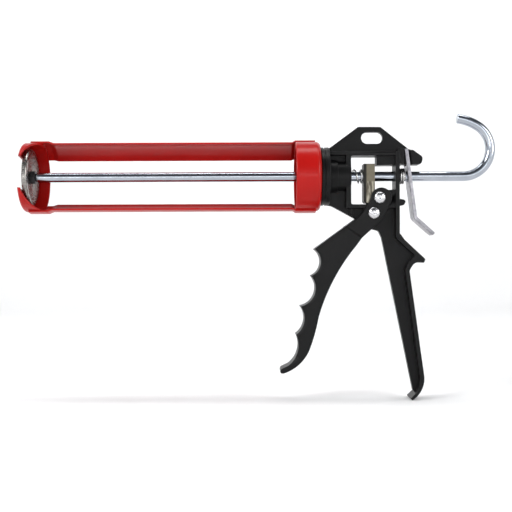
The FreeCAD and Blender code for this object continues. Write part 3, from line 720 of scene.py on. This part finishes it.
def makeRivets():
    seat = rivetShape["seat"]
    head = rivetShape["headRadius"]
    height = rivetShape["headHeight"]
    dimple = rivetShape["dimpleRadius"]
    depth = rivetShape["dimpleDepth"]
    domeFrom = rivetShape["domeFrom"]
    steps = rivetShape["domeSteps"]
    half = [(0.35 * dimple, height - depth), (0.75 * dimple, height - 0.6 * depth),
            (dimple, height - 0.1)]
    for index in range(1, steps + 1):
        angle = math.radians(90) * (domeFrom + (1 - domeFrom) * index / steps)
        half.append((head * math.sin(angle), height * math.cos(angle) if index < steps else 0.02))
    half.append((head - 0.08, 0.0))
    for rivet in rivetShape["rivets"]:
        profile = [(radius, seat + lift) for radius, lift in half]
        profile.append((rivet["shank"], seat))
        profile += [(radius, -place) for radius, place in reversed(profile)]
        centre = Vector((rivet["place"][0], 0, rivet["place"][1]))
        rings = []
        for radius, place in profile:
            middle = (centre + Vector((0, place, 0))) * mm
            rings.append(ringAround(middle, Vector((1, 0, 0)), Vector((0, 0, 1)),
                                    radius * mm, rivetShape["sides"]))
        crown = Vector((0, seat + height - depth, 0))
        ends = [(centre + crown * side) * mm for side in (1, -1)]
        mesh = meshFromRings(rivet["name"], rings, *ends)
        addPiece(rivet["name"], mesh, "trigger", rivet["node"], "rivetSteel")


springShape = {
    "wireSides": 14,
    "stepsPerTurn": 48,
    "lean": 0.12,            # how far the wire leans along the spring
    "springs": [
        {"name": "returnCoil", "node": "return_spring", "radius": 5.4, "wire": 1.2,
         "startAngle": -90, "lastTurn": 6.4,
         "turnPlaces": [247.95, 249.3, 254.4, 259.8, 265.1, 271.3, 272.6, 272.85],
         "joint": "driver_slide", "anchor": 247.3, "keep": 0.70},
        {"name": "releaseCoil", "node": "release_spring", "radius": 5.9, "wire": 1.5,
         "startAngle": -90, "lastTurn": 2.6,
         "turnPlaces": [303.15, 304.7, 306.3, 307.25],
         "joint": "release_press", "anchor": 302.4, "keep": 0.62},
    ],
}


def placeOfTurn(places, turn):
    # a smooth line through the places where each turn crosses
    index = min(int(turn), len(places) - 2)
    step = turn - index
    first, last = places[index], places[index + 1]
    slopeIn = (last - places[index - 1]) / 2 if index > 0 else last - first
    slopeOut = (places[index + 2] - first) / 2 if index + 2 < len(places) else last - first
    square, cube = step * step, step * step * step
    return ((2 * cube - 3 * square + 1) * first
            + (cube - 2 * square + step) * slopeIn
            + (3 * square - 2 * cube) * last
            + (cube - square) * slopeOut)


def makeSprings():
    for spring in springShape["springs"]:
        radius = spring["radius"]
        wire = spring["wire"] / 2
        steps = int(spring["lastTurn"] * springShape["stepsPerTurn"])
        rings = []
        middles = []
        for index in range(steps + 1):
            turn = spring["lastTurn"] * index / steps
            angle = 2 * math.pi * turn + math.radians(spring["startAngle"])
            outward = Vector((0, math.cos(angle + math.pi / 2), math.sin(angle + math.pi / 2)))
            middle = Vector((placeOfTurn(spring["turnPlaces"], turn), 0, 0)) + outward * radius
            middles.append(middle * mm)
            along = Vector((springShape["lean"], -outward.z, outward.y)).normalized()
            side = along.cross(outward).normalized()
            rings.append(ringAround(middle * mm, outward, side, wire * mm,
                                    springShape["wireSides"]))
        mesh = meshFromRings(spring["name"], rings, middles[0], middles[-1])
        piece = addPiece(spring["name"], mesh, "casting", spring["node"], "springWire")
        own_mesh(piece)


triggerShape = {
    "fingerRounding": 2.2,
    "fingerEdge": 1.0,
    "otherEdge": 0.42,
    "hiddenEdge": 0.2,
    "sideFace": 10.9,        # mm from the middle, edges further in are hidden ones
    "cheekFace": 11.8,       # mm from the middle, edges further out are on the fork
    "firstTip": -58.6,       # mm below the rod, where the finger scallops begin
    "toeStarts": -145.0,     # the rounding narrows from here
    "toeEnds": -153.0,       # to here
    "toeEdge": 0.5,
    "segments": 5,
    # height and place of the blade's middle, from the fork down to the toe
    "bladeMiddle": [(-36, 268), (-48, 259), (-60, 251), (-80, 240), (-100, 232),
                    (-120, 228), (-140, 226), (-145, 222.5), (-150, 218.3),
                    (-152, 216), (-155, 211), (-158.5, 207)],
}


def middleOfBlade(height):
    line = triggerShape["bladeMiddle"]
    for (highZ, highX), (lowZ, lowX) in zip(line, line[1:]):
        if lowZ <= height <= highZ:
            share = (highZ - height) / (highZ - lowZ)
            return highX + (lowX - highX) * share
    return -1000.0


def foldedFaces(mesh):
    # faces whose outline crosses itself by a hair after the rounding
    mesh.calc_loop_triangles()
    folded = set()
    for triangle in mesh.loop_triangles:
        first, second, third = [mesh.vertices[index].co for index in triangle.vertices]
        outwards = mesh.polygons[triangle.polygon_index].normal
        if (second - first).cross(third - first).dot(outwards) < 0:
            folded.add(triangle.polygon_index)
    return folded


def settleFaces(piece):
    # keeps the rounding, and splits a folded face into triangles that all look outwards
    depsgraph = bpy.context.evaluated_depsgraph_get()
    settled = bpy.data.meshes.new_from_object(piece.evaluated_get(depsgraph))
    piece.modifiers.clear()
    folded = foldedFaces(settled)
    shape = bmesh.new()
    shape.from_mesh(settled)
    shape.normal_update()
    wide = [face for face in shape.faces if face.index in folded and len(face.verts) > 3]
    for face in wide:
        outwards = face.normal.copy()
        for part in bmesh.ops.triangulate(shape, faces=[face])["faces"]:
            part.normal_update()
            if part.normal.dot(outwards) < 0:
                part.normal_flip()
    shape.to_mesh(piece.data)
    shape.free()
    bpy.data.meshes.remove(settled)


def roundedCopy(name, node, body, finish, width, segments, weightOf):
    # the machined shape again, with edges rounded by the share that weightOf gives
    shape = bmesh.new()
    shape.from_mesh(nodes[node].data)
    bmesh.ops.remove_doubles(shape, verts=shape.verts, dist=meshCare["weldWithin"])
    bmesh.ops.dissolve_limit(shape, angle_limit=math.radians(meshCare["flatWithin"]),
                             verts=shape.verts, edges=shape.edges)
    weight = shape.edges.layers.float.new("bevel_weight_edge")
    crisp = math.radians(meshCare["crispFrom"])
    for edge in shape.edges:
        if len(edge.link_faces) == 2 and edge.calc_face_angle(0) > crisp:
            middle = (edge.verts[0].co + edge.verts[1].co) / 2 / mm
            edge[weight] = weightOf(edge, middle)
            edge.smooth = edge[weight] > 0   # an edge that isn't rounded stays crisp
    for face in shape.faces:
        face.smooth = True
    mesh = bpy.data.meshes.new(name)
    shape.to_mesh(mesh)
    shape.free()
    if "custom_normal" in mesh.attributes:
        mesh.attributes.remove(mesh.attributes["custom_normal"])
    piece = addPiece(name, mesh, body, node, finish)
    bevel = piece.modifiers.new("roundEdges", "BEVEL")
    bevel.width = width * mm
    bevel.segments = segments
    bevel.limit_method = "WEIGHT"
    bevel.use_clamp_overlap = False
    settleFaces(piece)
    evenNormals(piece, keepSharp=True)


def triggerEdge(edge, middle):
    if abs(middle.y) < triggerShape["sideFace"]:
        return triggerShape["hiddenEdge"] if edge.is_convex else 0.0
    if abs(middle.y) > triggerShape["cheekFace"]:
        return triggerShape["otherEdge"]
    onFingers = middle.z < triggerShape["firstTip"] and middle.x < middleOfBlade(middle.z)
    full = triggerShape["fingerEdge"] if onFingers else triggerShape["otherEdge"]
    toeLength = triggerShape["toeStarts"] - triggerShape["toeEnds"]
    fade = min(max((middle.z - triggerShape["toeEnds"]) / toeLength, 0.0), 1.0)
    return triggerShape["toeEdge"] + (full - triggerShape["toeEdge"]) * fade


def makeTrigger():
    roundedCopy("triggerGrip", "trigger", "trigger", "blackCoat",
                triggerShape["fingerRounding"], triggerShape["segments"], triggerEdge)


castingShape = {
    "rounding": 0.42,
    "segments": 2,
    "neckRings": (239.0, 247.5),   # the turned neck keeps its crisp grooves
    "neckInside": 20.0,
}


def castingEdge(edge, middle):
    ringStart, ringEnd = castingShape["neckRings"]
    fromRod = math.hypot(middle.y, middle.z)
    onNeck = ringStart < middle.x < ringEnd and fromRod > castingShape["neckInside"]
    return 1.0 if edge.is_convex and not onNeck else 0.0


def makeCasting():
    roundedCopy("castBody", "body_casting", "casting", "blackCoat",
                castingShape["rounding"], castingShape["segments"], castingEdge)


dress()
softenAll()
makePushRod()
makeRivets()
makeSprings()
makeTrigger()
makeCasting()
print("pieces made")
makeCamera()
makeLights()
makeAir()
makeStage(cadBounds[0][2])
scene.view_settings.view_transform = "Standard"
